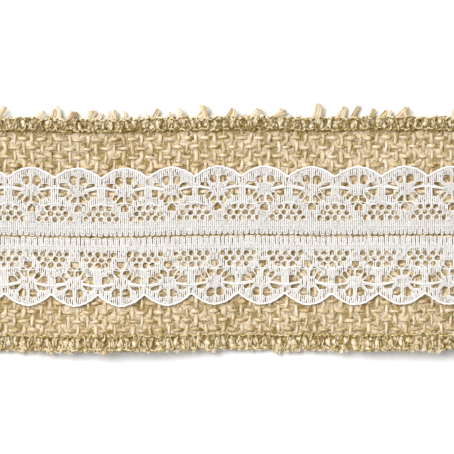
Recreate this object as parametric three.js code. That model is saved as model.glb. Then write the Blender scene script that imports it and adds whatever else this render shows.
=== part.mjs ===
// A narrow burlap-and-lace table runner, lying flat.
// Millimetres. +X runs along the runner, +Y across it, +Z up. The origin is the middle of the
// footprint, on the surface that the runner lies on. The "far" side is +Y and the "near" side is -Y.
//
// Pieces: one woven burlap cloth with frayed yarn ends; three overlock threads on each long edge
// (needle, upper looper, lower looper); two scalloped lace trims laid back to back, each with its
// thick outline cord and the needle and bobbin threads of the row of stitches that holds it.

import * as THREE from 'three';

// ---------- Driving dimensions ----------

// Cloth
const runnerLength = 457; // over the frayed yarn ends
const runnerWidth = 63.5; // over the overlocked edges, without the loose yarn ends
const clothThickness = 1.6;
const edgeCoreThickness = 0.8; // cloth squeezed by the overlock
const yarnEndThickness = 0.4;
const endFray = 4; // bare lengthwise yarns past the last crosswise yarn, at each end
const farYarnEndReach = 3; // crosswise yarn ends that stand out of the far overlock
const nearYarnEndReach = 1.2; // and out of the near one

// Overlock on both long edges
const overlockWidth = 4.1;
const overlockStitchLength = 3.35;
const looperThreadWidth = 0.45;
const looperThreadHeight = 0.4;
const overlockNeedleThreadWidth = 0.5;
const overlockNeedleThreadHeight = 0.3;

// Lace trims
const laceWidth = 18.7; // heading edge to scallop peak
const laceThickness = 0.45;
const headingGap = 0.7; // between the two headings
const laceOffset = -0.5; // the pair sits a little towards the near edge
const scallopPitch = 12.8;
const scallopDepth = 2.5;
const scallopFullness = 0.8; // 1 is a plain wave, less gives broad peaks and narrow valleys
const farScallopPhase = -2.4; // place of one scallop peak along X
const nearScallopPhase = -3.3;
const outlineCordWidth = 0.6;
const outlineCordHeight = 0.6;

// Stitches that hold the lace
const stitchLineFromHeading = 2.2;
const stitchThreadWidth = 0.4;
const stitchThreadHeight = 0.25;

// Fits
const restGap = 0.05; // between pieces that lie on or against each other
const grooveSideGap = 0.1; // each side of a bobbin thread in the cloth's underside

// Facets
const pointsPerScallop = 6;

// ---------- Places worked out from the sizes ----------

// The frayed far side is longer than the near one, so the band is moved to keep the box centred.
const bandCentreY = (nearYarnEndReach - farYarnEndReach) / 2;
const trimLength = runnerLength - 2 * endFray;
const edgeCoreBottom = looperThreadHeight + restGap;
const edgeCoreTop = edgeCoreBottom + edgeCoreThickness;
const edgeCoreMiddle = (edgeCoreBottom + edgeCoreTop) / 2;
const laceBottom = clothThickness + restGap;
const laceTop = laceBottom + laceThickness;

// ---------- Shape helpers ----------

// A closed outline of [x, y] points, standing from zBottom to zTop.
function plate(outline, zBottom, zTop) {
  const shape = new THREE.Shape(outline.map(([x, y]) => new THREE.Vector2(x, y)));
  const geometry = new THREE.ExtrudeGeometry(shape, { depth: zTop - zBottom, bevelEnabled: false });
  return geometry.translate(0, 0, zBottom);
}

// A cross-section of [y, z] points that runs along X, centred on the origin.
function runAlongX(section, length) {
  const shape = new THREE.Shape(section.map(([y, z]) => new THREE.Vector2(y, z)));
  const geometry = new THREE.ExtrudeGeometry(shape, { depth: length, bevelEnabled: false });
  geometry.translate(0, 0, -length / 2);
  const turnedAxes = new THREE.Matrix4().set(
    0, 0, 1, 0,
    1, 0, 0, 0,
    0, 1, 0, 0,
    0, 0, 0, 1,
  );
  return geometry.applyMatrix4(turnedAxes);
}

// A straight thread of rectangular section along X.
function straightThread(centreY, width, zBottom, zTop, length) {
  const low = centreY - width / 2;
  const high = centreY + width / 2;
  return runAlongX([[low, zBottom], [high, zBottom], [high, zTop], [low, zTop]], length);
}

// ---------- Materials ----------

function clothMaterial(name, colour, roughness) {
  return new THREE.MeshStandardMaterial({ name, color: colour, roughness, metalness: 0 });
}

const jute = clothMaterial('jute', 0xcbb693, 0.9);
const overlockThread = clothMaterial('overlock_thread', 0x8d8256, 0.75);
const laceYarn = clothMaterial('lace_yarn', 0xf6f3ec, 0.7);
const sewingThread = clothMaterial('sewing_thread', 0xefebe2, 0.65);

const runner = new THREE.Group();

function addPiece(name, geometry, material) {
  const mesh = new THREE.Mesh(geometry, material);
  mesh.name = name;
  runner.add(mesh);
}

// Each side is +1 for the far half of the runner and -1 for the near half.
const sides = [
  { name: 'far', sign: 1, phase: farScallopPhase },
  { name: 'near', sign: -1, phase: nearScallopPhase },
];

function headingEdgeY(side) {
  return bandCentreY + laceOffset + side.sign * (headingGap / 2);
}

function stitchLineY(side) {
  return headingEdgeY(side) + side.sign * stitchLineFromHeading;
}

function overlockOuterY(side) {
  return bandCentreY + side.sign * (runnerWidth / 2);
}

function overlockInnerY(side) {
  return overlockOuterY(side) - side.sign * overlockWidth;
}

// ---------- Burlap cloth ----------

// The section thins to a core inside each overlock and to the loose yarn ends outside it, and has
// a groove in its underside for each bobbin thread.
function clothSection() {
  const coreEndInset = looperThreadWidth;
  const grooveHalf = stitchThreadWidth / 2 + grooveSideGap;
  const grooveDepth = stitchThreadHeight + restGap;
  const [far, near] = sides;
  const farCoreEnd = overlockOuterY(far) - coreEndInset;
  const nearCoreEnd = overlockOuterY(near) + coreEndInset;
  const farYarnEnd = overlockOuterY(far) + farYarnEndReach;
  const nearYarnEnd = overlockOuterY(near) - nearYarnEndReach;
  const yarnLow = edgeCoreMiddle - yarnEndThickness / 2;
  const yarnHigh = edgeCoreMiddle + yarnEndThickness / 2;
  const underside = [];
  for (const side of [near, far]) {
    const middle = stitchLineY(side);
    underside.push([middle - grooveHalf, 0], [middle - grooveHalf, grooveDepth]);
    underside.push([middle + grooveHalf, grooveDepth], [middle + grooveHalf, 0]);
  }
  return [
    [overlockInnerY(near), edgeCoreBottom],
    [overlockInnerY(near), 0],
    ...underside,
    [overlockInnerY(far), 0],
    [overlockInnerY(far), edgeCoreBottom],
    [farCoreEnd, edgeCoreBottom],
    [farCoreEnd, yarnLow],
    [farYarnEnd, yarnLow],
    [farYarnEnd, yarnHigh],
    [farCoreEnd, yarnHigh],
    [farCoreEnd, edgeCoreTop],
    [overlockInnerY(far), edgeCoreTop],
    [overlockInnerY(far), clothThickness],
    [overlockInnerY(near), clothThickness],
    [overlockInnerY(near), edgeCoreTop],
    [nearCoreEnd, edgeCoreTop],
    [nearCoreEnd, yarnHigh],
    [nearYarnEnd, yarnHigh],
    [nearYarnEnd, yarnLow],
    [nearCoreEnd, yarnLow],
    [nearCoreEnd, edgeCoreBottom],
  ];
}

addPiece('burlap_cloth', runAlongX(clothSection(), runnerLength), jute);

// ---------- Overlocked edges ----------

// A looper thread runs to and fro between the needle line and the cloth's edge, one turn a stitch.
function looperOutline(side) {
  const halfStitch = overlockStitchLength / 2;
  const inner = overlockInnerY(side) + side.sign * restGap;
  const outer = overlockOuterY(side);
  const legRun = Math.hypot(halfStitch, overlockWidth);
  const cutHeight = (looperThreadWidth * legRun) / halfStitch;
  const low = Math.min(inner, outer);
  const high = Math.max(inner, outer) - cutHeight;
  const turns = 2 * Math.floor(trimLength / overlockStitchLength);
  const firstX = -(turns * halfStitch) / 2;
  const lowerChain = [];
  const upperChain = [];
  for (let turn = 0; turn <= turns; turn++) {
    const x = firstX + turn * halfStitch;
    const y = turn % 2 === 0 ? low : high;
    lowerChain.push([x, y]);
    upperChain.push([x, y + cutHeight]);
  }
  return [...lowerChain, ...upperChain.reverse()];
}

for (const side of sides) {
  const outline = looperOutline(side);
  const upperBottom = edgeCoreTop + restGap;
  const upperTop = upperBottom + looperThreadHeight;
  addPiece(`${side.name}_edge_lower_looper_thread`, plate(outline, 0, looperThreadHeight), overlockThread);
  addPiece(`${side.name}_edge_upper_looper_thread`, plate(outline, upperBottom, upperTop), overlockThread);
  const needleBottom = Math.max(upperTop, clothThickness) + restGap;
  const needleTop = needleBottom + overlockNeedleThreadHeight;
  const needleY = overlockInnerY(side) + side.sign * (overlockNeedleThreadWidth / 2);
  const needle = straightThread(needleY, overlockNeedleThreadWidth, needleBottom, needleTop, trimLength);
  addPiece(`${side.name}_edge_needle_thread`, needle, overlockThread);
}

// ---------- Lace trims ----------

// Places along X where a scalloped edge has a corner: evenly spaced from a peak, and both cut ends.
function scallopStations(phase) {
  const step = scallopPitch / pointsPerScallop;
  const half = trimLength / 2;
  const stations = [-half];
  const first = Math.ceil((-half - phase) / step);
  const last = Math.floor((half - phase) / step);
  for (let index = first; index <= last; index++) {
    const x = phase + index * step;
    if (x > -half + restGap && x < half - restGap) {
      stations.push(x);
    }
  }
  stations.push(half);
  return stations;
}

// How far the scalloped edge stands out at x, from the heading edge.
function scallopReach(x, phase) {
  const wave = 0.5 + 0.5 * Math.cos((2 * Math.PI * (x - phase)) / scallopPitch);
  return laceWidth - scallopDepth + scallopDepth * wave ** scallopFullness;
}

// The band between two distances in from the scalloped edge, as [x, y] points.
function scallopBand(side, outerInset, innerEdge) {
  const heading = headingEdgeY(side);
  const stations = scallopStations(side.phase);
  const outer = stations.map((x) => [x, heading + side.sign * (scallopReach(x, side.phase) - outerInset)]);
  return [...innerEdge(stations, heading), ...outer.reverse()];
}

for (const side of sides) {
  const straightHeading = (stations, heading) => [
    [stations[0], heading],
    [stations[stations.length - 1], heading],
  ];
  const insideOfCord = (stations, heading) =>
    stations.map((x) => [x, heading + side.sign * (scallopReach(x, side.phase) - outlineCordWidth)]);
  const trim = scallopBand(side, outlineCordWidth + restGap, straightHeading);
  addPiece(`${side.name}_lace_trim`, plate(trim, laceBottom, laceTop), laceYarn);
  const cord = scallopBand(side, 0, insideOfCord);
  addPiece(`${side.name}_lace_outline_cord`, plate(cord, laceBottom, laceBottom + outlineCordHeight), laceYarn);
}

// ---------- Stitches that hold the lace ----------

for (const side of sides) {
  const y = stitchLineY(side);
  const needleBottom = laceTop + restGap;
  const needleTop = needleBottom + stitchThreadHeight;
  const needle = straightThread(y, stitchThreadWidth, needleBottom, needleTop, trimLength);
  addPiece(`${side.name}_lace_stitch_needle_thread`, needle, sewingThread);
  const bobbin = straightThread(y, stitchThreadWidth, 0, stitchThreadHeight, trimLength);
  addPiece(`${side.name}_lace_stitch_bobbin_thread`, bobbin, sewingThread);
}

export default runner;
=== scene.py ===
# A narrow burlap-and-lace table runner on a pale floor, seen from straight above.
# Lengths in the shape code are millimetres in the part's frame: +X along the runner, +Y across it
# towards the more frayed far edge, +Z up. MM turns them into Blender's metres as each mesh is made.

import math

import bpy
import numpy as np
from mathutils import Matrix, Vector


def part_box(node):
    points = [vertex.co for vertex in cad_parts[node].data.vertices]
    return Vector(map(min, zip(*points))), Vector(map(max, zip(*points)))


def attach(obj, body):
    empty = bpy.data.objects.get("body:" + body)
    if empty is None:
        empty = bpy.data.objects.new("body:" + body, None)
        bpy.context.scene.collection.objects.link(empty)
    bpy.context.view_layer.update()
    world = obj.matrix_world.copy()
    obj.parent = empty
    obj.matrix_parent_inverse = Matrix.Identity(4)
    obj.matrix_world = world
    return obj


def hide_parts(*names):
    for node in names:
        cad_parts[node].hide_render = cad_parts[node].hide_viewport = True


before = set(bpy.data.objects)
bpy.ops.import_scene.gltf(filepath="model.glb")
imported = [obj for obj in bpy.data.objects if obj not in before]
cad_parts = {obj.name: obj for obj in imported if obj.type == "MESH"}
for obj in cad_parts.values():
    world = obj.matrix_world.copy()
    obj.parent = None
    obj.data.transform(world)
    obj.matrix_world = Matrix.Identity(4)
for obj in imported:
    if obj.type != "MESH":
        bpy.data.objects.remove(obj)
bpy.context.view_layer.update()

MM = 0.001
SEED = 20


# ---------- Sizes ----------

def box_mm(node):
    low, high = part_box(node)
    return np.array(low) / MM, np.array(high) / MM


cloth_high = box_mm("burlap_cloth")[1]
CLOTH_THICKNESS = cloth_high[2]
CLOTH_END = cloth_high[0]
TRIM_END = box_mm("far_lace_trim")[1][0]

# Weave
CROSS_PITCH = 2.485
LENGTH_PITCH = 2.46
FIRST_CROSS_YARN = 1.555  # place along X of the crosswise yarn next to the middle
CROSS_HALF_WIDTH, CROSS_HALF_HEIGHT = 0.41, 0.32
LENGTH_HALF_WIDTH, LENGTH_HALF_HEIGHT = 0.47, 0.33
CROSS_CRIMP, LENGTH_CRIMP = 0.34, 0.48
CROSS_SLIP = 0.16  # most by which a crosswise yarn lies off its even place
CROSS_END_MARGIN = 0.6  # least room beyond the last crosswise yarn
CROSS_INSET = 0.4  # from an overlock's outer limit to the yarns' ends
YARN_STEP = 0.45
YARN_SIDES = 7
CLOTH_SECTIONS = 6
HELD_ROWS = 3  # lengthwise yarns squeezed inside each overlock
HELD_ROW_PITCH = 1.15
HELD_ROW_SHIFT = 0.35  # of the held yarns towards the middle
FIRST_ROW_INSET = 1.45  # from the overlock's inner line to the first free lengthwise yarn

# Overlock
STITCH_LENGTH = 3.35

# Lace
SCALLOP_PITCH = 12.8
SCALLOP_FULLNESS = 0.46  # 1 is a plain wave, less gives broad peaks and narrow valleys
CUSP_ROUNDING = 0.004  # keeps the valleys from ending in a sharp point
WALES_PER_SCALLOP = 24
WALE_PITCH = SCALLOP_PITCH / WALES_PER_SCALLOP
HEADING_WIDTH = 3.7


def side_of(name, sign, phase, needle_line, lace_stretch, depth, notch):
    def limit(piece, way):
        """Where across the runner a piece ends, on its outer side for a way of 1, else its inner."""
        low, high = box_mm(f"{name}_{piece}")
        return high[1] if way * sign > 0 else low[1]

    heading = limit("lace_trim", -1)
    stitch = "lace_stitch_needle_thread"
    return {
        "name": name,
        "sign": sign,
        "phase": phase,
        "needle_line": needle_line,
        "stretch": lace_stretch,
        "depth": depth,
        "notch": notch,
        "inner": limit("edge_needle_thread", -1),
        "outer": limit("edge_upper_looper_thread", 1),
        "heading": heading,
        "lace_width": abs(limit("lace_outline_cord", 1) - heading),
        "stitch": (limit(stitch, -1) + limit(stitch, 1)) / 2,
        "lace_bottom": box_mm(f"{name}_lace_trim")[0][2],
    }


# phase is where along X a flower's middle lies, needle_line how far out from the overlock's inner
# limit its straight stitches run, depth that of the scallops, notch the reach of the gaps between
# the heading's loops.
FAR = side_of("far", 1, -2.4, 0.85, 1.012, depth=2.8, notch=(0.5, 1.4))
NEAR = side_of("near", -1, -3.3, -0.05, 1.016, depth=3.2, notch=(1.3, 2.5))


# ---------- Small helpers ----------

def unit(vectors):
    return vectors / np.maximum(np.linalg.norm(vectors, axis=-1, keepdims=True), 1e-12)


def waves(rng, count, at, wavelengths, amplitude):
    """Smooth random wander: one row of values for each of count threads, at the places given."""
    total = np.zeros((count, len(at)))
    for wavelength in wavelengths:
        phase = rng.uniform(0, 2 * math.pi, (count, 1))
        stretch = rng.uniform(0.8, 1.25, (count, 1))
        total += np.sin(2 * math.pi * at[None, :] * stretch / wavelength + phase)
    return amplitude * total / math.sqrt(len(wavelengths))


# Slack: least lift of each part of the band and how much more it rises at a crest, length of its
# wave and the place along X of a crest.
NEAR_LIFT, NEAR_SWELL, NEAR_WAVE, NEAR_CREST = 0.5, 3.6, 78, -28
FAR_SWELL, FAR_WAVE, FAR_CREST = 1.2, 64, 5
MIDDLE_LIFT, MIDDLE_SWELL = 0.15, 0.35
SWAYS = ((0.25, 23.0, 0.4), (0.18, 9.5, 1.7))  # reach, wavelength over 2 pi, start in radians


def rise(x, y):
    """How far the cloth stands off the floor: it lies in slack, shallow waves."""
    share = np.clip((y - NEAR["outer"]) / (FAR["outer"] - NEAR["outer"]), 0, 1)
    near_edge = 0.5 + 0.5 * np.cos(2 * math.pi * (x - NEAR_CREST) / NEAR_WAVE)
    far_edge = 0.5 + 0.5 * np.cos(2 * math.pi * (x - FAR_CREST) / FAR_WAVE)
    middle = 0.5 + 0.5 * np.sin(x / 15.0 + 0.6)
    near = (NEAR_LIFT + NEAR_SWELL * near_edge) * (1 - share) ** 3
    far = FAR_SWELL * far_edge * share ** 3
    return near + far + 4 * share * (1 - share) * (MIDDLE_LIFT + MIDDLE_SWELL * middle)


def sway(x):
    """How far the band bends to one side along its length."""
    return sum(reach * np.sin(x / wave + start) for reach, wave, start in SWAYS)


def laid(points):
    """Lays points of the flat band on its shallow waves."""
    points = points.copy()
    points[:, 2] += rise(points[:, 0], points[:, 1])
    points[:, 1] += sway(points[:, 0])
    return points


def add_object(name, data):
    made = bpy.data.objects.new(name, data)
    bpy.context.scene.collection.objects.link(made)
    return made


# ---------- Threads as meshes ----------

def thread_mesh(name, threads, half_widths, half_heights, sides, tones=None, closed=False,
                up=(0.0, 0.0, 1.0), twist=0.0, smooth=True):
    """One object made of many swept threads, each an array of points in millimetres.

    half_widths and half_heights are one array a thread, or one number for all. tones has one
    value a thread or one a point; a lower one is darker.
    """
    counts = np.array([len(thread) for thread in threads])
    starts = np.concatenate([[0], np.cumsum(counts)[:-1]])
    points = laid(np.concatenate(threads))
    total = len(points)
    width = spread_over(half_widths, total)
    height = spread_over(half_heights, total)
    first = np.repeat(starts, counts)
    size = np.repeat(counts, counts)
    index = np.arange(total)
    if closed:
        ahead = first + (index - first + 1) % size
        behind = first + (index - first - 1) % size
    else:
        ahead = np.minimum(index + 1, first + size - 1)
        behind = np.maximum(index - 1, first)
    tangent = unit(points[ahead] - points[behind])
    upright = spread_over(up, total)
    side = unit(np.cross(tangent, upright))
    lift = np.cross(side, tangent)
    angles = 2 * math.pi * np.arange(sides) / sides
    ring = (
        side[:, None, :] * (np.cos(angles)[None, :, None] * width[:, None, None])
        + lift[:, None, :] * (np.sin(angles)[None, :, None] * height[:, None, None])
    )
    vertices = (points[:, None, :] + ring).reshape(-1, 3) * MM

    step = np.linalg.norm(points[ahead] - points, axis=1)
    run = np.concatenate([[0.0], np.cumsum(step)[:-1]])
    has_next = np.ones(total, bool) if closed else index < first + size - 1
    here = index[has_next]
    there = ahead[has_next]
    corner = np.arange(sides)
    beside = (corner + 1) % sides
    quads = np.stack([
        point[:, None] * sides + turn
        for point, turn in ((here, corner), (there, corner), (there, beside), (here, beside))
    ], axis=-1).reshape(-1, 4)

    # The bake map lays the threads out end to end in rows that fill a square.
    girth = float(np.mean(width + height)) * math.pi
    row_length = math.sqrt(max(run[-1], 1.0) * girth)
    longest = float(step[has_next].max())
    row = np.floor(run[here] / row_length)
    rows = row.max() + 1
    begin = (run[here] - row * row_length) / (row_length + longest)
    end = begin + step[has_next] / (row_length + longest)
    low = (row[:, None] + 0.08 + 0.84 * corner / sides) / rows
    high = (row[:, None] + 0.08 + 0.84 * (corner + 1) / sides) / rows
    quad_map = np.stack([
        np.stack(np.broadcast_arrays(u[:, None], v), -1)
        for u, v in ((begin, low), (end, low), (end, high), (begin, high))
    ], axis=2).reshape(-1, 2)

    corners = [quads.ravel()]
    maps = [quad_map]
    face_sizes = [np.full(len(quads), 4)]
    if not closed:
        finish = starts + counts - 1
        for ends, order in ((starts, corner), (finish, corner[::-1])):
            corners.append((ends[:, None] * sides + order).ravel())
            face_sizes.append(np.full(len(ends), sides))
            near = np.floor(run[ends] / row_length)
            across = (run[ends] - near * row_length) / (row_length + longest)
            u = across[:, None] + 0.3 * girth / row_length * (0.5 + 0.5 * np.cos(angles[order]))
            v = (near[:, None] + 0.5 + 0.3 * np.sin(angles[order])) / rows
            maps.append(np.stack([np.clip(u, 0, 1), v], -1).reshape(-1, 2))
    mesh = bpy.data.meshes.new(name)
    corners = np.concatenate(corners).astype(np.int32)
    face_sizes = np.concatenate(face_sizes).astype(np.int32)
    mesh.vertices.add(len(vertices))
    mesh.vertices.foreach_set("co", vertices.astype(np.float32).ravel())
    mesh.loops.add(len(corners))
    mesh.loops.foreach_set("vertex_index", corners)
    mesh.polygons.add(len(face_sizes))
    loop_starts = np.concatenate([[0], np.cumsum(face_sizes)[:-1]]).astype(np.int32)
    mesh.polygons.foreach_set("loop_start", loop_starts)
    mesh.polygons.foreach_set("loop_total", face_sizes)
    mesh.polygons.foreach_set("use_smooth", np.full(len(face_sizes), smooth))
    bake_map = mesh.uv_layers.new(name="OFBake")
    bake_map.uv.foreach_set("vector", np.concatenate(maps).astype(np.float32).ravel())

    # The strand attribute winds round the thread, so that a noise drawn on it follows the twist.
    thread_of = np.repeat(np.arange(len(threads)), counts)
    turned = angles[None, :] + (twist * run)[:, None]
    strand = np.stack([
        np.cos(turned),
        np.sin(turned),
        np.repeat((run * 0.35 + 7.7 * thread_of)[:, None], sides, axis=1),
    ], -1)
    wound = mesh.attributes.new("strand", "FLOAT_VECTOR", "POINT")
    wound.data.foreach_set("vector", strand.astype(np.float32).ravel())
    tone = np.zeros(total) if tones is None else np.asarray(tones, float)
    if len(tone) == len(threads):
        tone = tone[thread_of]
    shade = mesh.attributes.new("tone", "FLOAT", "POINT")
    shade.data.foreach_set("value", np.repeat(tone, sides).astype(np.float32))
    mesh.update(calc_edges=True)
    return add_object(name, mesh)


def spread_over(values, total):
    """A value or vector a point, from a list of one array a thread or from one for all."""
    if isinstance(values, list):
        return np.concatenate(values)
    return np.full((total, *np.shape(values)), values, float)


def finish_piece(piece, material, slot, *nodes):
    piece.data.materials.append(material)
    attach(piece, "root")
    if nodes:
        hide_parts(*nodes)
    return piece


# ---------- Materials ----------

def set_inputs(node, values):
    for name, value in values.items():
        node.inputs[name].default_value = value


def new_material(name, roughness, sheen, shine=0.3):
    material = bpy.data.materials.new(name)
    material.use_nodes = True
    shader = material.node_tree.nodes["Principled BSDF"]
    set_inputs(shader, {"Roughness": roughness, "Specular IOR Level": shine,
                        "Sheen Weight": sheen, "Sheen Roughness": 0.5})
    return material, shader


def thread_material(name, dark, middle, light, *, roughness=0.6, sheen=0.0, shine=0.3, scale=2.0,
                    relief=0.02, tone_reach=0.2, deep=None):
    """Spun thread: fibre streaks follow its twist, and each thread has a tone of its own.

    scale is that of the streaks, relief their height in millimetres, tone_reach how far a tone of
    1 moves the colour along the ramp, and deep an extra, darker end of the ramp.
    """
    material, shader = new_material(name, roughness, sheen, shine)
    nodes, links = material.node_tree.nodes, material.node_tree.links
    strand = nodes.new("ShaderNodeAttribute")
    strand.attribute_name = "strand"
    fibres = nodes.new("ShaderNodeTexNoise")
    set_inputs(fibres, {"Scale": scale, "Detail": 4.0, "Roughness": 0.6})
    links.new(strand.outputs["Vector"], fibres.inputs["Vector"])
    tone = nodes.new("ShaderNodeAttribute")
    tone.attribute_name = "tone"
    shift = nodes.new("ShaderNodeMath")
    shift.operation = "MULTIPLY_ADD"
    shift.inputs[1].default_value = tone_reach
    links.new(tone.outputs["Fac"], shift.inputs[0])
    links.new(fibres.outputs["Fac"], shift.inputs[2])
    ramp = nodes.new("ShaderNodeValToRGB")
    stops = ramp.color_ramp.elements
    stops[0].position = 0.34
    stops[0].color = (*dark, 1)
    stops[1].position = 0.66
    stops[1].color = (*light, 1)
    stops.new(0.5).color = (*middle, 1)
    if deep:
        stops.new(0.16).color = (*deep, 1)
    links.new(shift.outputs[0], ramp.inputs["Fac"])
    links.new(ramp.outputs["Color"], shader.inputs["Base Color"])
    bump = nodes.new("ShaderNodeBump")
    set_inputs(bump, {"Strength": 0.7, "Distance": relief * MM})
    links.new(fibres.outputs["Fac"], bump.inputs["Height"])
    links.new(bump.outputs["Normal"], shader.inputs["Normal"])
    return material


# The jute's deep stop is the dark brown that the painted shade of dips, falls and overlock-held yarns
# reaches.
JUTE = thread_material(
    "jute_yarn", (0.32, 0.195, 0.035), (0.63, 0.475, 0.27), (0.80, 0.73, 0.60),
    roughness=0.5, sheen=0.1, shine=0.35, scale=2.8, relief=0.16, tone_reach=0.03,
    deep=(0.20, 0.12, 0.025))
JUTE_HAIR = thread_material(
    "jute_fibre", (0.62, 0.47, 0.25), (0.82, 0.69, 0.46), (0.93, 0.85, 0.66),
    roughness=0.5)
JUTE_WEB = thread_material(
    "jute_fibre_web", (0.30, 0.21, 0.07), (0.52, 0.405, 0.245), (0.70, 0.595, 0.44),
    roughness=0.7, shine=0.1)
JUTE_TUFT = thread_material(
    "jute_tuft", (0.36, 0.23, 0.08), (0.70, 0.54, 0.32), (0.87, 0.78, 0.61),
    sheen=0.05, shine=0.25, scale=2.4, relief=0.05, tone_reach=0.12, deep=(0.15, 0.09, 0.012))
FAR_OVERLOCK = thread_material(
    "far_overlock_thread", (0.085, 0.055, 0.002), (0.35, 0.25, 0.05), (0.80, 0.70, 0.46),
    shine=0.15, relief=0.05, tone_reach=0.22)
NEAR_OVERLOCK = thread_material(
    "near_overlock_thread", (0.14, 0.092, 0.004), (0.54, 0.42, 0.14), (0.84, 0.725, 0.47),
    shine=0.15, relief=0.05, tone_reach=0.22)
LACE = thread_material(
    "white_lace_yarn", (0.85, 0.825, 0.79), (0.90, 0.883, 0.86), (0.92, 0.913, 0.90),
    roughness=0.5, sheen=0.15, scale=1.6, tone_reach=0.1)
SEWING = thread_material(
    "off_white_sewing_thread", (0.72, 0.70, 0.66), (0.82, 0.80, 0.77), (0.90, 0.89, 0.87),
    sheen=0.1, scale=1.6, tone_reach=0.1)


# ---------- Burlap cloth ----------

def row_places():
    """Places across the runner of the lengthwise yarns, near to far, squeezed in the overlocks."""
    free_low = NEAR["inner"] + FIRST_ROW_INSET
    free_high = FAR["inner"] - FIRST_ROW_INSET
    free_count = round((free_high - free_low) / LENGTH_PITCH) + 1
    free = np.linspace(free_low, free_high, free_count)
    held = HELD_ROW_PITCH * np.arange(1, HELD_ROWS + 1)
    near = NEAR["inner"] + HELD_ROW_SHIFT - held[::-1]
    far = FAR["inner"] - HELD_ROW_SHIFT + held
    return np.concatenate([near, free, far])


ROWS = row_places()


def cross_places():
    """Places along the runner of the crosswise yarns, and the count of the first from the middle."""
    half = int(TRIM_END / CROSS_PITCH) + 1
    count = np.arange(-half, half + 1)
    places = FIRST_CROSS_YARN + CROSS_PITCH * count
    kept = np.abs(places) < TRIM_END - CROSS_END_MARGIN
    rng = np.random.default_rng(SEED)
    slip = rng.uniform(-CROSS_SLIP, CROSS_SLIP, kept.sum())
    return places[kept] + slip, count[kept][0]


CROSS, FIRST_COUNT = cross_places()
MID_HEIGHT = CLOTH_THICKNESS / 2
YARN_TWIST = 1.6  # radians a millimetre
CROSS_LIGHTER = 1.3  # tone by which the crosswise yarns are paler than the lengthwise ones
DIP_PAINTED_SHADE = 4.0  # painted shade: tone by which a yarn is darker and browner where it dips under another
FALL_PAINTED_SHADE = 5.0  # painted shade: tone by which a lengthwise yarn is darker and browner where it runs down, on the slope turned away from the key light
PATCH_WAVES = (19.0, 6.0, 2.7)  # wavelengths of the paler and browner places along a yarn
PATCH_DEPTH = 1.3
SHADE_PATCH_WAVES = (23.0, 7.0, 3.1)  # wavelengths of the places where the painted shade of a fall is stronger
SHADE_PATCH_MEAN, SHADE_PATCH_DEPTH = 0.8, 0.9
HELD_PAINTED_SHADE = 15.0  # painted shade: tone by which a yarn is darker and browner inside an overlock, where its threads shade it
# Wavelengths and strength of a yarn's wander, thick and thin places, and changing crimp.
CROSS_WANDER, LENGTH_WANDER = ((33.0, 12.0, 5.5), 0.20), ((70.0, 24.0, 8.0, 5.0), 0.17)
CROSS_SLUBS, LENGTH_SLUBS = ((41.0, 14.0, 5.0, 2.6), 0.16), ((55.0, 19.0, 6.0, 2.9), 0.20)
CRIMP_CHANGES = ((9.0, 4.0), 0.18)
TOP_SPREAD = 0.10  # share by which a yarn is wider where it lies on top
DIP_START = 0.35  # height at which the painted shade of a dip begins; 1 is on top
PRESS = 0.45  # share by which an overlock flattens the weave
PRESS_RUN = 1.5  # width over which it takes hold


def edge_press(y):
    """1 in the open cloth, falling to a smaller share where an overlock squeezes it."""
    far = np.clip((y - FAR["inner"]) / PRESS_RUN + 0.5, 0, 1)
    near = np.clip((NEAR["inner"] - y) / PRESS_RUN + 0.5, 0, 1)
    return 1 - PRESS * np.maximum(far, near)


def uneven(rng, count, at, wavelengths, amplitude):
    """Factors about 1 for thick and thin places."""
    return np.exp(waves(rng, count, at, wavelengths, amplitude))


def crosswise_yarns():
    """Crosswise yarns, each from the near overlock's edge to the far one."""
    rng = np.random.default_rng(SEED + 1)
    count = len(CROSS)
    low, high = NEAR["outer"] + CROSS_INSET, FAR["outer"] - CROSS_INSET
    y = np.linspace(low, high, int((high - low) / YARN_STEP))
    row_index = np.interp(y, ROWS, np.arange(len(ROWS)))
    press = edge_press(y)
    wander = waves(rng, count, y, *CROSS_WANDER)
    slub = uneven(rng, count, y, *CROSS_SLUBS)
    crimp = uneven(rng, count, y, *CRIMP_CHANGES)
    girth = np.exp(rng.normal(0, 0.12, (count, 1)))
    patchy = waves(rng, count, y, PATCH_WAVES, PATCH_DEPTH)
    threads, widths, heights, tones = [], [], [], []
    for i in range(count):
        parity = 1 - 2 * ((i + FIRST_COUNT) % 2)
        swing = parity * np.cos(math.pi * row_index)
        z = MID_HEIGHT + CROSS_CRIMP * swing * press * crimp[i]
        threads.append(np.stack([CROSS[i] + wander[i], y, z], 1))
        widths.append(CROSS_HALF_WIDTH * girth[i] * slub[i] * (1 + TOP_SPREAD * swing))
        heights.append(CROSS_HALF_HEIGHT * girth[i] * slub[i] ** 0.5 * np.sqrt(press))
        # Random tone and patches, with painted shade where the yarn dips and inside the overlocks.
        tones.append(rng.normal(CROSS_LIGHTER, 0.7) + patchy[i]
                     + DIP_PAINTED_SHADE * np.minimum(swing - DIP_START, 0) - HELD_PAINTED_SHADE * (1 - press))
    return threads, widths, heights, tones


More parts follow.
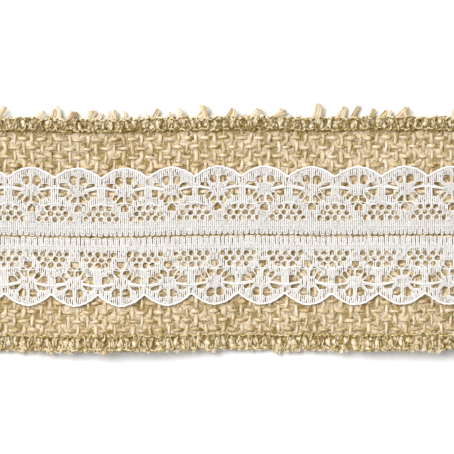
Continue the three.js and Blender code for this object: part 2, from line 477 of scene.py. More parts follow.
def lengthwise_yarns():
    """Lengthwise yarns, over the whole length."""
    rng = np.random.default_rng(SEED + 2)
    count = len(ROWS)
    x = np.linspace(-CLOTH_END, CLOTH_END, int(2 * CLOTH_END / YARN_STEP))
    inside = np.clip((TRIM_END - np.abs(x)) / 1.5, 0, 1)
    step_index = np.interp(x, CROSS, np.arange(len(CROSS)) + FIRST_COUNT)
    wander = waves(rng, count, x, *LENGTH_WANDER)
    slub = uneven(rng, count, x, *LENGTH_SLUBS)
    crimp = uneven(rng, count, x, *CRIMP_CHANGES)
    girth = np.exp(rng.normal(0, 0.10, (count, 1)))
    fray = 0.55 + 0.45 * inside
    patchy = waves(rng, count, x, PATCH_WAVES, PATCH_DEPTH)
    shade_patches = np.maximum(SHADE_PATCH_MEAN + waves(rng, count, x, SHADE_PATCH_WAVES, SHADE_PATCH_DEPTH), 0)
    threads, widths, heights, tones = [], [], [], []
    for j in range(count):
        press = edge_press(np.array([ROWS[j]]))[0]
        parity = (-1) ** (j + 1)
        swing = parity * np.cos(math.pi * step_index) * inside
        fall = np.maximum(parity * np.sin(math.pi * step_index), 0)
        z = MID_HEIGHT + LENGTH_CRIMP * swing * press * crimp[j] - (1 - inside) * 0.3
        threads.append(np.stack([x, ROWS[j] + wander[j] * press, z], 1))
        widths.append(LENGTH_HALF_WIDTH * girth[j] * slub[j] * (1 + TOP_SPREAD * swing) * fray)
        heights.append(
            LENGTH_HALF_HEIGHT * girth[j] * slub[j] ** 0.5 * math.sqrt(press) * fray)
        # Random tone and patches, with painted shade where the yarn dips, where it runs down and
        # inside the overlocks.
        tones.append(rng.normal(0.6, 0.7) + patchy[j] + DIP_PAINTED_SHADE * np.minimum(swing - DIP_START, 0)
                     - FALL_PAINTED_SHADE * shade_patches[j] * fall ** 2 - HELD_PAINTED_SHADE * (1 - press))
    return threads, widths, heights, tones


def woven_cloth(cross, along):
    """The weave in sections along its length, each with both sets of yarns."""
    cross_cuts = np.linspace(0, len(CROSS), CLOTH_SECTIONS + 1).round().astype(int)
    ring_x = along[0][0][:, 0]
    cut_x = (CROSS[cross_cuts[1:-1] - 1] + CROSS[cross_cuts[1:-1]]) / 2
    ring_cuts = np.concatenate([[0], np.searchsorted(ring_x, cut_x), [len(ring_x) - 1]])
    pieces = []
    for number in range(CLOTH_SECTIONS):
        mine = slice(cross_cuts[number], cross_cuts[number + 1])
        rings = slice(ring_cuts[number], ring_cuts[number + 1] + 1)
        threads, widths, heights, tones = (
            crossing[mine] + [values[rings] for values in running]
            for crossing, running in zip(cross, along))
        piece = thread_mesh(f"burlap_weave_{number + 1}", threads, widths, heights, YARN_SIDES,
                            np.concatenate(tones), twist=YARN_TWIST)
        pieces.append(finish_piece(piece, JUTE, "jute", "burlap_cloth"))
    return pieces


cross_set = crosswise_yarns()
along_set = lengthwise_yarns()
weave = woven_cloth(cross_set, along_set)


TALLEST_HAIR = 3.2  # above the flat band's underside
HAIR_RINGS = 5
LOOSE_FIBRES = 6000


def curved_hairs(rng, roots, headings, lengths, sag, rings):
    """Fine fibres: each leaves its root along its heading and curls to one side and down."""
    share = np.linspace(0, 1, rings)[:, None]
    bend = rng.normal(0, 0.55, (len(roots), 3))
    bend[:, 2] -= sag
    paths = []
    for root, heading, length, turn in zip(roots, headings, lengths, bend):
        path = root + heading * share * length + turn * share ** 2 * length * 0.6
        path[:, 2] = np.maximum(path[:, 2] * min(1, TALLEST_HAIR / path[:, 2].max()), 0.04)
        paths.append(path)
    return paths


def loose_fibres(name, count, seed, climb, radius, spread):
    """Loose jute fibres that stand out of the yarns all over the cloth."""
    rng = np.random.default_rng(seed)
    threads = cross_set[0] + along_set[0]
    lengths = np.array([len(thread) for thread in threads])
    roots, headings = [], []
    for number in rng.choice(len(threads), count, p=lengths / lengths.sum()):
        thread = threads[number]
        at = rng.integers(2, len(thread) - 3)
        along = unit(thread[at + 1] - thread[at])
        lean = rng.normal(0, spread, 3)
        lean[2] = abs(lean[2]) * climb
        headings.append(unit(along * rng.choice([-1, 1]) * 0.9 + lean))
        roots.append(thread[at] + np.array([0, 0, 0.3 * climb]))
    lengths = rng.gamma(3.0, 0.7, count) + 0.5
    paths = curved_hairs(rng, np.array(roots), np.array(headings), lengths, sag=0.15, rings=HAIR_RINGS)
    taper = np.linspace(1, 0.4, HAIR_RINGS)
    radii = [radius * size * taper for size in rng.uniform(0.6, 1.3, count)]
    hairs = thread_mesh(name, paths, radii, radii, 3, rng.normal(0, 0.8, count))
    finish_piece(hairs, JUTE_HAIR, "jute", "burlap_cloth")


loose_fibres("burlap_loose_fibres", LOOSE_FIBRES, SEED + 3, climb=0.55, radius=0.04, spread=0.9)


# Fibres in each opening: how many, lowest and highest place, half width, points along each.
MATTED_FIBRES = (10, 0.62, 0.86, (0.45, 0.70), (-1, 1))
FINE_FIBRES = (4, 0.70, 1.25, (0.06, 0.11), (-1, 0, 1))
WEB_SPREAD = 0.9  # farthest that one lies from the middle of its opening, along and across
WEB_HALF_LENGTH = (0.8, 1.45)
WEB_FLATNESS = 0.06  # most half height of one


def fibre_web(name, columns, seed):
    """Fibres that fill the openings: broad matted ribbons, with fine curved ones among them.

    They are shaded flat, because smooth shading would make their thin edges look like lines.
    """
    rng = np.random.default_rng(seed)
    x = (CROSS[columns] + CROSS[columns + 1]) / 2
    y = (ROWS[:-1] + ROWS[1:]) / 2
    middles = np.stack(np.meshgrid(x, y, indexing="ij"), -1).reshape(-1, 2)
    opening_tone = rng.normal(0, 0.35, len(middles))
    threads, widths, tones = [], [], []
    for each, low, high, half_width, parts in (MATTED_FIBRES, FINE_FIBRES):
        places = np.repeat(middles, each, axis=0)
        count = len(places)
        places = places + rng.uniform(-WEB_SPREAD, WEB_SPREAD, (count, 2))
        angle = rng.uniform(0, math.pi, count)
        half = rng.uniform(*WEB_HALF_LENGTH, count)
        height = rng.uniform(low, high, count)
        tilt = rng.normal(0, 0.04, count)
        bow = rng.normal(0, 0.28, count)
        paths = [
            np.stack([
                places[:, 0] + part * half * np.cos(angle) - (part == 0) * bow * np.sin(angle),
                places[:, 1] + part * half * np.sin(angle) + (part == 0) * bow * np.cos(angle),
                np.maximum(height + part * tilt, 0.06),
            ], -1)
            for part in parts
        ]
        threads += list(np.stack(paths, 1))
        widths += [np.full(len(parts), size) for size in rng.uniform(*half_width, count)]
        tones.append(np.repeat(opening_tone, each) + rng.normal(0, 0.8, count))
    heights = [np.minimum(width * 0.5, WEB_FLATNESS) for width in widths]
    piece = thread_mesh(name, threads, widths, heights, 3, np.concatenate(tones), smooth=False)
    finish_piece(piece, JUTE_WEB, "jute", "burlap_cloth")


WEB_PIECES = 4
web_cuts = np.linspace(0, len(CROSS) - 1, WEB_PIECES + 1).round().astype(int)
for number in range(WEB_PIECES):
    fibre_web(f"burlap_fibre_web_{number + 1}", np.arange(web_cuts[number], web_cuts[number + 1]),
              SEED + 20 + number)


# Cut yarn ends: thickness is half the width of the brush, fray how far its strands spread.
TUFT_ROOT_DEPTH = 1.3  # from the overlock's edge in to where a brush starts
TUFT_STRAND_RADIUS = 0.13
TUFT_THICKNESS, TUFT_STRANDS, TUFT_FRAY = (0.50, 0.90), 26, 0.12
WIDE_TUFT_THICKNESS, WIDE_TUFT_STRANDS, WIDE_TUFT_FRAY = 1.35, 44, 0.28
WIDE_TUFT_CHANCE = 0.10


def tuft(rng, root, heading, length, thickness, strands, strand_radius, arch, fray, rings=6):
    """A bundle of jute strands that leaves its root along a heading, arched and blunt-ended."""
    share = np.linspace(0, 1, rings)
    across = unit(np.array([-heading[1], heading[0], 0.0]))
    curl = rng.normal(0, 0.18)
    paths, radii = [], []
    for _ in range(strands):
        angle = rng.uniform(0, 2 * math.pi)
        off = thickness * math.sqrt(rng.random())
        aside, above = off * math.cos(angle), 0.55 * off * math.sin(angle)
        reach = length * rng.uniform(0.86, 1.0)
        close = 1 - 0.12 * share + fray * share ** 2 * rng.normal(0, 1)
        path = root + heading * (share * reach)[:, None]
        path = path + across * (aside * close + curl * length * share ** 2)[:, None]
        path[:, 2] += above * (1 - 0.4 * share) + arch * np.sin(math.pi * share * 0.9)
        path[:, 2] = np.maximum(path[:, 2], 0.1)
        paths.append(path)
        radii.append(strand_radius * rng.uniform(0.75, 1.2) * (1 - 0.3 * share ** 3))
    return paths, radii


def yarn_ends(side, chance, reaches, lean, seed):
    """Cut ends of the crosswise yarns that stand out of one overlock as small brushes."""
    rng = np.random.default_rng(seed)
    paths, radii, tones = [], [], []
    for x in CROSS:
        kind = rng.random()
        if kind > chance:
            continue
        tilt = rng.normal(lean, 0.20)
        heading = np.array([math.sin(tilt), side["sign"] * math.cos(tilt), rng.normal(0, 0.05)])
        reach = rng.uniform(*reaches)
        root = np.array([x, side["outer"] - side["sign"] * TUFT_ROOT_DEPTH, MID_HEIGHT + 0.1])
        wide = kind < WIDE_TUFT_CHANCE
        thickness = WIDE_TUFT_THICKNESS if wide else rng.uniform(*TUFT_THICKNESS)
        strands = WIDE_TUFT_STRANDS if wide else TUFT_STRANDS
        fray = WIDE_TUFT_FRAY if wide else TUFT_FRAY
        made = tuft(rng, root, heading, reach + TUFT_ROOT_DEPTH, thickness, strands,
                    TUFT_STRAND_RADIUS, arch=0.05, fray=fray)
        paths += made[0]
        radii += made[1]
        tone = rng.normal(0.6, 0.5)
        tones += list(tone + rng.normal(0, 0.5, len(made[0])))
    piece = thread_mesh(f"{side['name']}_edge_yarn_ends", paths, radii, radii, 4, tones,
                        twist=1.0)
    finish_piece(piece, JUTE_TUFT, "jute", "burlap_cloth")


yarn_ends(FAR, chance=0.60, reaches=(1.9, 4.3), lean=0.40, seed=SEED + 4)
yarn_ends(NEAR, chance=0.60, reaches=(0.4, 1.5), lean=-0.25, seed=SEED + 5)


END_STRANDS = 4  # of each lengthwise yarn, at each end
END_REACHES = (2.5, 4.6)


def end_fringe(seed):
    """Loose strands of the lengthwise yarns at both cut ends."""
    rng = np.random.default_rng(seed)
    paths, radii = [], []
    for way in (-1, 1):
        for y in np.repeat(ROWS, END_STRANDS):
            heading = unit(np.array([way, rng.normal(0, 0.2), rng.normal(-0.05, 0.05)]))
            root = np.array([way * (TRIM_END - 0.5), y + rng.normal(0, 0.2), MID_HEIGHT - 0.15])
            made = tuft(rng, root, heading, rng.uniform(*END_REACHES), thickness=0.28, strands=2,
                        strand_radius=0.12, arch=0.0, fray=0.3)
            paths += made[0]
            radii += made[1]
    piece = thread_mesh("burlap_end_fringe", paths, radii, radii, 4, rng.normal(0, 0.7, len(paths)))
    finish_piece(piece, JUTE_HAIR, "jute", "burlap_cloth")


end_fringe(SEED + 13)


# ---------- Overlocked edges ----------

def carried_frames(path):
    """An upright vector for each point that turns as little as possible along the path."""
    tangents = unit(np.gradient(path, axis=0))
    upright = np.zeros_like(path)
    current = np.array([0.0, 0.0, 1.0])
    for index, tangent in enumerate(tangents):
        current = current - tangent * np.dot(current, tangent)
        current = current / np.linalg.norm(current)
        upright[index] = current
    return upright


def cut_sides(starts, ends, share):
    """Two points for each side of an outline, a share of it in from either end."""
    first = (1 - share) * starts + share * ends
    second = share * starts + (1 - share) * ends
    return np.stack([first, second], 1).reshape(-1, starts.shape[1])


def rounded(corners, passes=2):
    """Corner cutting: turns a string of corner points into a smooth thread path."""
    for _ in range(passes):
        middle = cut_sides(corners[:-1], corners[1:], 0.25)
        corners = np.concatenate([corners[:1], middle, corners[-1:]])
    return corners


TOP = CLOTH_THICKNESS + 0.15
BAND = abs(FAR["outer"] - FAR["inner"])
BOW = 0.16  # share of a stitch by which the diagonals bow in the middle of the band


def overlock_shapes(inner, outer):
    """Corners of one stitch of each thread: share of the stitch, distance out, height."""
    upper = (
        (0.00, inner - 0.05, TOP + 0.14), (0.20, inner - 0.22, TOP + 0.16),
        (0.34, inner + 0.25, TOP + 0.12), (0.58, outer - 0.45, TOP),
        (0.66, outer - 0.05, 1.35), (0.74, outer - 0.25, TOP - 0.10), (0.94, inner + 0.45, TOP + 0.05),
    )
    lower = (
        (0.00, outer - 0.15, 1.10), (0.10, outer - 0.35, TOP - 0.02), (0.35, outer - 0.62, TOP + 0.18),
        (0.62, outer - 0.50, TOP + 0.16), (0.86, outer - 0.20, TOP - 0.05), (0.92, outer + 0.05, 0.85),
        (0.94, outer - 0.5, 0.35), (0.96, inner + 0.6, 0.30), (0.98, inner + 0.6, 0.30),
        (0.99, outer - 0.5, 0.35),
    )
    needle = (
        (0.00, inner + 0.15, 0.75), (0.05, inner + 0.12, TOP), (0.22, inner + 0.30, TOP + 0.42),
        (0.50, inner - 0.05, TOP + 0.48), (0.78, inner + 0.25, TOP + 0.38),
        (0.94, inner + 0.15, TOP), (0.98, inner + 0.15, 0.75),
    )
    return upper, lower, needle


def band_wander(side, x):
    """Slow wander of an overlock across the cloth, the same for its three threads."""
    rng = np.random.default_rng(SEED + 30 + side["sign"])
    return waves(rng, 1, x, (31.0, 12.0), 0.16)[0]


def looper_path(side, shape, offset, rng):
    """One thread of the overlock along the whole edge, from the corners of one stitch."""
    stitches = int(2 * TRIM_END / STITCH_LENGTH)
    first = -stitches * STITCH_LENGTH / 2 + offset * STITCH_LENGTH
    corners = []
    for stitch in range(stitches):
        drift = rng.normal(0, 0.12)
        nudge = rng.normal(0, 0.10, (len(shape), 3)) * (2.0, 1.5, 0.5)
        for (share, out, height), move in zip(shape, nudge):
            bow = BOW * math.sin(math.pi * min(max(out / BAND, 0), 1))
            x = first + (stitch + share + bow) * STITCH_LENGTH + drift
            y = side["inner"] + side["sign"] * out
            corners.append(np.array([x, y, height]) + move)
    path = rounded(np.array(corners))
    path[:, 1] += band_wander(side, path[:, 0])
    path[:, 2] = np.maximum(path[:, 2], 0.25)
    return path[np.abs(path[:, 0]) < TRIM_END]


def overlock(side, material, radius, seed):
    rng = np.random.default_rng(seed)
    inner, outer = side["needle_line"], BAND + 0.1
    upper, lower, needle = overlock_shapes(inner, outer)
    # Shift along the edge as a share of a stitch, and added tone.
    threads = (
        ("upper_looper_thread", upper, 0.0, 0.0),
        ("lower_looper_thread", lower, 0.30, 0.0),
        ("needle_thread", needle, 0.10, 0.1),
    )
    for name, shape, offset, lighter in threads:
        path = looper_path(side, shape, offset, rng)
        node = f"{side['name']}_edge_{name}"
        swell = radius * uneven(rng, 1, np.arange(len(path)), (17.0, 5.0), 0.12)[0]
        run = np.concatenate([[0], np.cumsum(np.linalg.norm(np.diff(path, axis=0), axis=1))])
        tones = lighter + waves(rng, 1, run, (5.3, 2.3, 1.3), 0.75)[0]
        piece = thread_mesh(f"{node}_stitched", [path], [swell], [swell], 6, tones,
                            up=[carried_frames(path)], twist=3.0)
        finish_piece(piece, material, "overlock_thread", node)


BULGE_SPACING = 2.2
BULGE_HEIGHT = 1.15  # of the middle of the thinnest ones; a fatter one sits lower
# Kinds of bulge: share of the way across the band, lean off straight across, length, girth,
# strands on top, tone.
FAR_BULGES = (
    (0.25, 0.5, 1.5, 0.50, 7, 0.8), (0.62, -0.3, 1.4, 0.50, 7, 0.8), (1.0, 1.45, 2.6, 0.26, 4, 0.6),
)
NEAR_BULGES = (
    (0.48, 0.5, 2.1, 0.70, 13, 0.4), (0.15, -0.6, 1.3, 0.42, 6, 1.0), (0.92, 0.9, 1.6, 0.40, 5, 0.6),
)


def edge_bulges(side, kinds, seed):
    """Jute that bulges up between the overlock's threads: a fat spindle and a few strands each."""
    rng = np.random.default_rng(seed)
    share = np.linspace(0, 1, 7)
    swell = np.sqrt(np.sin(math.pi * (0.06 + 0.88 * share)))
    first = side["needle_line"] + 0.55
    paths, radii, tones = [], [], []
    for x in np.arange(-TRIM_END + 1.5, TRIM_END - 1.5, BULGE_SPACING):
        for across, lean, length, girth, strands, lighter in kinds:
            tilt = rng.normal(lean, 0.3)
            heading = np.array([math.sin(tilt), side["sign"] * math.cos(tilt), 0.0])
            out = first + across * (BAND - first) + rng.normal(0, 0.15)
            size = girth * rng.uniform(0.75, 1.2)
            place = np.array([x + rng.normal(0, 0.12) * BULGE_SPACING,
                              side["inner"] + side["sign"] * out, BULGE_HEIGHT - 0.5 * size])
            reach = length * rng.uniform(0.8, 1.2)
            paths.append(place + heading * ((share - 0.5) * reach)[:, None])
            radii.append(size * swell)
            tone = rng.normal(lighter, 0.7)
            tones.append(tone - 0.8)
            made = tuft(rng, place - heading * reach / 2, heading, reach, size,
                        strands, TUFT_STRAND_RADIUS, arch=0.9 * size, fray=0.1, rings=5)
            paths += made[0]
            radii += made[1]
            tones += list(tone + rng.normal(0.4, 0.5, len(made[0])))
    piece = thread_mesh(f"{side['name']}_edge_bulges", paths, radii, radii, 5, tones,
                        twist=YARN_TWIST)
    finish_piece(piece, JUTE_TUFT, "jute", "burlap_cloth")


FAR_THREAD_RADIUS, NEAR_THREAD_RADIUS = 0.18, 0.165

overlock(FAR, FAR_OVERLOCK, FAR_THREAD_RADIUS, SEED + 6)
edge_bulges(FAR, FAR_BULGES, SEED + 14)
overlock(NEAR, NEAR_OVERLOCK, NEAR_THREAD_RADIUS, SEED + 7)
edge_bulges(NEAR, NEAR_BULGES, SEED + 15)


# ---------- Lace ----------

# Outlines of the open places of one motif, on its right-hand side: each point is the distance
# across from the flower's middle and the distance out from the heading's edge.
FLOWER_OUTLINES = (
    ((0.45, 15.55), (1.20, 15.95), (2.20, 15.75), (2.45, 14.60), (1.55, 13.65), (0.50, 13.95)),
    ((2.15, 12.75), (3.80, 12.98), (5.00, 13.40), (4.60, 14.00), (3.05, 13.90)),
    ((2.55, 11.85), (5.25, 12.30), (5.25, 10.55), (4.20, 10.40), (3.10, 10.90)),
    ((1.75, 11.00), (2.60, 11.30), (3.40, 10.30), (3.15, 9.40), (2.35, 9.70)),
    ((0.42, 10.35), (1.20, 10.50), (2.10, 9.40), (2.05, 8.40), (1.28, 8.15), (0.48, 9.15)),
)
MIDDLE_OUTLINE = ((-1.00, 6.50), (1.00, 6.50), (1.02, 7.60), (0.00, 8.45), (-1.02, 7.60))
SLIT_OUTLINE = ((6.28, 13.80), (6.52, 13.80), (6.50, 15.20), (6.30, 15.20))
# Rows of net under each valley between flowers: distance out, holes, half width, half height.
NET_ROWS = ((7.35, 3, 0.66, 0.63), (5.85, 4, 0.66, 0.60), (4.45, 5, 0.60, 0.63))
NET_PITCH = 4 * WALE_PITCH
OPEN_MARGIN = 0.20  # room round each outline for the thread that edges it
RIB_RADIUS = 0.145
FILL_HALF_WIDTH, FILL_HALF_HEIGHT = 0.155, 0.05
FILL_STEP = 0.28
RIM_RADIUS = 0.08
CORD_RADIUS = 0.27
RIB_HEIGHT = 0.17  # of the rib's middle above the trim's underside
V_STEP = 0.10
PEAK_INSET = 0.25  # from the outline cord's limit back to the scallop's peak
RIB_INSET = 0.35  # from the scallop's edge back to the ends of the ribs
END_INSET = 0.3  # from the trim's cut ends to the nearest open place or thick thread
UNBROKEN_CHANCE = 0.6  # that a line of inlay runs on from the heading
SLIT_CHANCE = 0.75  # that a line of inlay over SLIT_LEAST_RUN long has an open slit
SLIT_LEAST_RUN = 1.4
# Thick threads over each valley: start from the flower's middle, distance out, rise, radius.
SWUNG_THREADS = ((1.9, 12.15, 0.70, 0.15), (0.0, 8.75, 0.0, 0.11))


def scallop_reach(side, x):
    wave = 0.5 + 0.5 * np.cos(2 * math.pi * (x - side["phase"]) / SCALLOP_PITCH)
    peak = (side["lace_width"] - PEAK_INSET) * side["stretch"]
    return peak - side["depth"] + side["depth"] * (wave + CUSP_ROUNDING) ** SCALLOP_FULLNESS


def flower_places(side):
    """Middles along X of a trim's flowers, with some to spare past its ends."""
    count = int(TRIM_END / SCALLOP_PITCH) + 2
    return side["phase"] + SCALLOP_PITCH * np.arange(-count, count + 1)


def lace_holes(side, rng):
    """Outlines of every open place of one trim, as points of x and distance out."""
    holes = []

    def add(x, outline):
        outline = np.array(outline, float)
        middle = outline.mean(axis=0)
        loose = outline + rng.normal(0, 0.05, outline.shape) + rng.normal(0, 0.06, 2)
        half = np.ptp(outline, axis=0) / 2
        loose = middle + (loose - middle) * (1 + OPEN_MARGIN / half) * np.exp(rng.normal(0, 0.05))
        loose[:, 1] *= side["stretch"]
        loose[:, 0] += x
        if np.abs(loose[:, 0]).max() < TRIM_END - END_INSET:
            holes.append(cut_sides(loose, np.roll(loose, -1, axis=0), 0.10))

    turn = 2 * math.pi * (np.arange(6) + 0.25) / 6
    for flower in flower_places(side):
        for outline in FLOWER_OUTLINES + (SLIT_OUTLINE,):
            add(flower, outline)
            if outline is not SLIT_OUTLINE:
                add(flower, [(-across, out) for across, out in outline[::-1]])
        add(flower, MIDDLE_OUTLINE)
        for out, number, wide, tall in NET_ROWS:
            for place in range(number):
                x = SCALLOP_PITCH / 2 + (place - (number - 1) / 2) * NET_PITCH
                add(flower, [(x + 1.1 * wide * math.cos(t), out + 1.1 * tall * math.sin(t))
                             for t in turn])
    return holes


def solid_mask(side, holes, xs, vs):
    """Whether the lace is closed, for each place along X and each distance out."""
    mask = vs[None, :] < (scallop_reach(side, xs) - RIB_INSET)[:, None]
    for outline in holes:
        low, high = outline.min(axis=0), outline.max(axis=0)
        near = np.flatnonzero((xs > low[0]) & (xs < high[0]))
        rows = np.flatnonzero((vs > low[1]) & (vs < high[1]))
        if not (len(near) and len(rows)):
            continue
        x, v = xs[near][:, None], vs[rows][None, :]
        inside = np.zeros((len(near), len(rows)), bool)
        for (x0, v0), (x1, v1) in zip(outline, np.roll(outline, -1, axis=0)):
            crosses = (v0 > v) != (v1 > v)
            inside ^= crosses & (x < x0 + (v - v0) * (x1 - x0) / (v1 - v0 + 1e-9))
        mask[np.ix_(near, rows)] &= ~inside
    return mask


def closed_runs(mask, vs):
    """For each row of the mask, the first and last distance of each closed stretch."""
    padded = np.pad(mask.astype(np.int8), ((0, 0), (1, 1)))
    change = np.diff(padded, axis=1)
    runs = []
    for row in change:
        begins = np.flatnonzero(row == 1)
        ends = np.flatnonzero(row == -1) - 1
        runs.append([(vs[a], vs[b]) for a, b in zip(begins, ends) if vs[b] - vs[a] > 0.2])
    return runs


def lace_point(side, x, v, height):
    y = side["heading"] + side["sign"] * np.asarray(v)
    return np.stack(np.broadcast_arrays(x, y, height), -1)


def lace_ribs(side, holes, xs, base, rng):
    """Pillar threads: straight ribs across the trim wherever it is closed."""
    vs = np.arange(0.25, side["lace_width"], V_STEP)
    threads, radii, tones = [], [], []
    for x, runs in zip(xs, closed_runs(solid_mask(side, holes, xs, vs), vs)):
        for low, high in runs:
            rings = max(3, int((high - low) / 0.7) + 1)
            v = np.linspace(low, high, rings)
            wobble = rng.normal(0, 0.03, rings)
            height = base + RIB_HEIGHT + rng.normal(0, 0.02, rings)
            threads.append(lace_point(side, x + wobble, v, height))
            radii.append(RIB_RADIUS * rng.uniform(0.82, 1.12, rings))
            tones.append(rng.normal(0, 0.5))
    return threads, radii, tones


def lace_fill(side, holes, xs, base, rng, grouped):
    """Inlay threads: a flat zigzag between each rib and the next, with some slits left open."""
    vs = np.arange(0.12, side["lace_width"], V_STEP)
    middle = (xs[:-1] + xs[1:]) / 2
    heading = HEADING_WIDTH * side["stretch"]
    threads = []
    for number, runs in enumerate(closed_runs(solid_mask(side, holes, middle, vs), vs)):
        left, right = xs[number], xs[number + 1]
        for low, high in runs:
            stretches = [(low, high)]
            if low < 0.5:
                notch = rng.uniform(*side["notch"]) if grouped[number] else 0.25
                stretches = [(low + notch, heading - 0.45), (heading + 0.1, high)]
                if rng.random() < UNBROKEN_CHANCE:
                    stretches = [(low + notch, high)]
            opened = []
            for a, b in stretches:
                start = max(a, heading)
                if b - start > SLIT_LEAST_RUN and rng.random() < SLIT_CHANCE:
                    gap = rng.uniform(0.4, min(1.5, b - start - 0.7))
                    cut = rng.uniform(start + 0.2, b - gap - 0.2)
                    opened += [(a, cut), (cut + gap, b)]
                else:
                    opened.append((a, b))
            for a, b in opened:
                turns = int((b - a) / FILL_STEP) + 1
                if turns < 3:
                    continue
                v = np.linspace(a, b, turns)
                x = np.where(np.arange(turns) % 2 == 0, left + 0.05, right - 0.05)
                height = base + RIB_HEIGHT + 0.06 + rng.normal(0, 0.01, turns)
                threads.append(lace_point(side, x, v, height))
    return threads


def lace_rims(side, holes, base, rng):
    """A closed thread round each open place."""
    height = base + RIB_HEIGHT + 0.04
    return [lace_point(side, *outline.T, height + rng.normal(0, 0.015, len(outline)))
            for outline in holes]


def lace_cords(side, base, rng):
    """The outline cord along the scallops, and the thick threads that swing over each valley."""
    x = np.arange(-TRIM_END, TRIM_END, 0.3)
    edge = scallop_reach(side, x) - CORD_RADIUS + waves(rng, 1, x, (4.0, 1.7), 0.07)[0]
    threads = [lace_point(side, x, edge, base + CORD_RADIUS + 0.02)]
    radii = [CORD_RADIUS * uneven(rng, 1, x, (2.3, 0.9), 0.10)[0]]
    share = np.linspace(0, 1, 26)
    swing = np.sin(math.pi * share)
    for flower in flower_places(side):
        for start, foot, rise_by, radius in SWUNG_THREADS:
            across = flower + start + (SCALLOP_PITCH - 2 * start) * share
            if np.abs(across).max() > TRIM_END - END_INSET:
                continue
            out = foot + rise_by * swing ** 0.8
            if not rise_by:
                out = out - 0.75 * np.sin(2 * math.pi * np.abs(share - 0.5) * 1.15) ** 2
            out = out * side["stretch"] + rng.normal(0, 0.025, len(share))
            threads.append(lace_point(side, across, out, base + RIB_HEIGHT + 0.12))
            radii.append(np.full(len(share), radius))
    return threads, radii


def heading_loops(side, xs, base, rng):
    """Rounded loops that join two or three ribs at the heading's edge, with gaps between them."""
    grouped = np.zeros(len(xs), bool)
    threads = []
    first = 0
    share = np.linspace(0, math.pi, 9)
    while first < len(xs) - 3:
        last = first + (2 if rng.random() < 0.6 else 1)
        centre = (xs[first] + xs[last]) / 2
        half = (xs[last] - xs[first]) / 2
        curve_x = centre - half * np.cos(share)
        curve_v = 0.38 - 0.40 * np.sin(share) + rng.normal(0, 0.05)
        threads.append(lace_point(side, curve_x, curve_v, base + RIB_HEIGHT + 0.02))
        grouped[last] = True
        first = last + 1
    return threads, grouped


def lace_trim(side, seed):
    rng = np.random.default_rng(seed)
    name = side["name"]
    base = side["lace_bottom"]
    phase = side["phase"] + WALE_PITCH / 2
    count = int(TRIM_END / WALE_PITCH) + 8
    xs = phase + WALE_PITCH * np.arange(-count, count + 1)
    xs = xs[np.abs(xs) < TRIM_END - 0.15]
    holes = lace_holes(side, rng)
    loops, grouped = heading_loops(side, xs, base, rng)
    ribs, rib_radii, rib_tones = lace_ribs(side, holes, xs, base, rng)
    fill = lace_fill(side, holes, xs, base, rng, grouped)
    rims = lace_rims(side, holes, base, rng)
    cords, cord_radii = lace_cords(side, base, rng)
    trim_node, cord_node = f"{name}_lace_trim", f"{name}_lace_outline_cord"
    pillars = thread_mesh(f"{name}_lace_pillar_threads", ribs, rib_radii, rib_radii, 4, rib_tones,
                          twist=2.0)
    inlays = thread_mesh(f"{name}_lace_inlay_threads", fill, FILL_HALF_WIDTH, FILL_HALF_HEIGHT, 3)
    net = thread_mesh(f"{name}_lace_net_threads", rims, RIM_RADIUS, RIM_RADIUS, 4, closed=True)
    edge = thread_mesh(f"{name}_lace_heading_loops", loops, RIB_RADIUS, RIB_RADIUS, 5)
    cord = thread_mesh(f"{name}_lace_thick_threads", cords, cord_radii, cord_radii, 8, twist=2.5)
    for piece in (pillars, inlays, net, edge):
        finish_piece(piece, LACE, "lace_yarn", trim_node)
    finish_piece(cord, LACE, "lace_yarn", cord_node)


lace_trim(FAR, SEED + 8)
lace_trim(NEAR, SEED + 9)


# ---------- Stitches that hold the lace ----------

LACE_STITCH_LENGTH = 2.6
SEWING_RADIUS = 0.10


def lace_stitches(side, seed):
    rng = np.random.default_rng(seed)
    name = side["name"]
    top = side["lace_bottom"] + 0.38
    above = ((0.00, 1.2), (0.06, top - 0.05), (0.25, top), (0.50, top + 0.02), (0.75, top),
             (0.94, top - 0.05))
    below = ((0.00, 0.7), (0.10, 0.22), (0.50, 0.14), (0.90, 0.22))
    stitches = int(2 * TRIM_END / LACE_STITCH_LENGTH)
    first = -stitches * LACE_STITCH_LENGTH / 2
    for thread, shape in (("needle", above), ("bobbin", below)):
        corners = [
            (first + (stitch + share) * LACE_STITCH_LENGTH, side["stitch"] + rng.normal(0, 0.03),
             height)
            for stitch in range(stitches) for share, height in shape
        ]
        path = rounded(np.array(corners), 1)
        node = f"{name}_lace_stitch_{thread}_thread"
        sideways = np.tile(np.array([0.0, 1.0, 0.0]), (len(path), 1))
        piece = thread_mesh(f"{node}_stitched", [path], SEWING_RADIUS, SEWING_RADIUS, 5,
                            up=[sideways], twist=4.0)
        finish_piece(piece, SEWING, "sewing_thread", node)


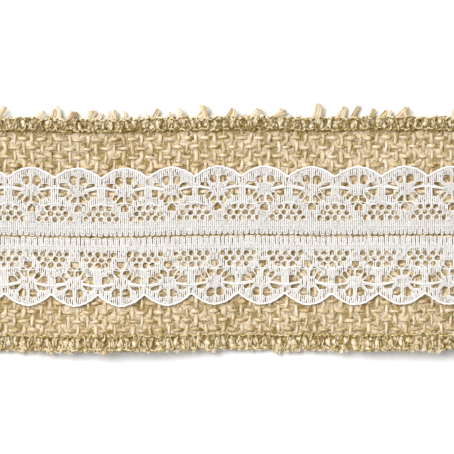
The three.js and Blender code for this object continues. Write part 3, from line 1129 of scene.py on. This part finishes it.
lace_stitches(FAR, SEED + 10)
lace_stitches(NEAR, SEED + 11)


# ---------- Floor, light and camera ----------

FLOOR_DROP = 0.2  # below the frame's zero, so that no loose fibre dips into the floor
FLOOR_HALF = 4.0  # metres
FLOOR_COLOUR = (0.93, 0.93, 0.925, 1)


def floor():
    mesh = bpy.data.meshes.new("floor")
    corners = [(x * FLOOR_HALF, y * FLOOR_HALF, 0) for x, y in ((-1, -1), (1, -1), (1, 1), (-1, 1))]
    mesh.from_pydata(corners, [], [(0, 1, 2, 3)])
    plane = add_object("floor", mesh)
    plane.location.z = -FLOOR_DROP * MM
    material, shader = new_material("pale_floor", roughness=0.9, sheen=0.0)
    set_inputs(shader, {"Base Color": FLOOR_COLOUR})
    mesh.materials.append(material)


def area_light(name, place, size, power):
    data = bpy.data.lights.new(name, "AREA")
    data.size = size
    data.energy = power
    lamp = add_object(name, data)
    lamp.location = place
    lamp.rotation_euler = (-Vector(place)).to_track_quat("-Z", "Y").to_euler()


# Light, in metres and watts
KEY_PLACE = (-1.05, 0.70, 1.75)
KEY_SIZE = 1.4
KEY_POWER = 57
FILL_STRENGTH = 0.52


def studio_light():
    area_light("key_light", KEY_PLACE, KEY_SIZE, KEY_POWER)
    world = bpy.data.worlds.new("studio")
    world.use_nodes = True
    background = world.node_tree.nodes["Background"]
    set_inputs(background, {"Color": (1, 1, 1, 1), "Strength": FILL_STRENGTH})
    bpy.context.scene.world = world
    bpy.context.scene.view_settings.view_transform = "Standard"


# Camera, in metres
VIEW_WIDTH = 0.1244
CAMERA_HEIGHT = 1.0
CAMERA_Y = 0.00102


def camera():
    data = bpy.data.cameras.new("camera")
    data.sensor_width = 36.0
    data.lens = data.sensor_width * CAMERA_HEIGHT / VIEW_WIDTH
    data.clip_start, data.clip_end = 0.05, 20.0
    eye = add_object("camera", data)
    eye.location = (0, CAMERA_Y, CAMERA_HEIGHT + CLOTH_THICKNESS * MM)
    bpy.context.scene.camera = eye


floor()
studio_light()
camera()
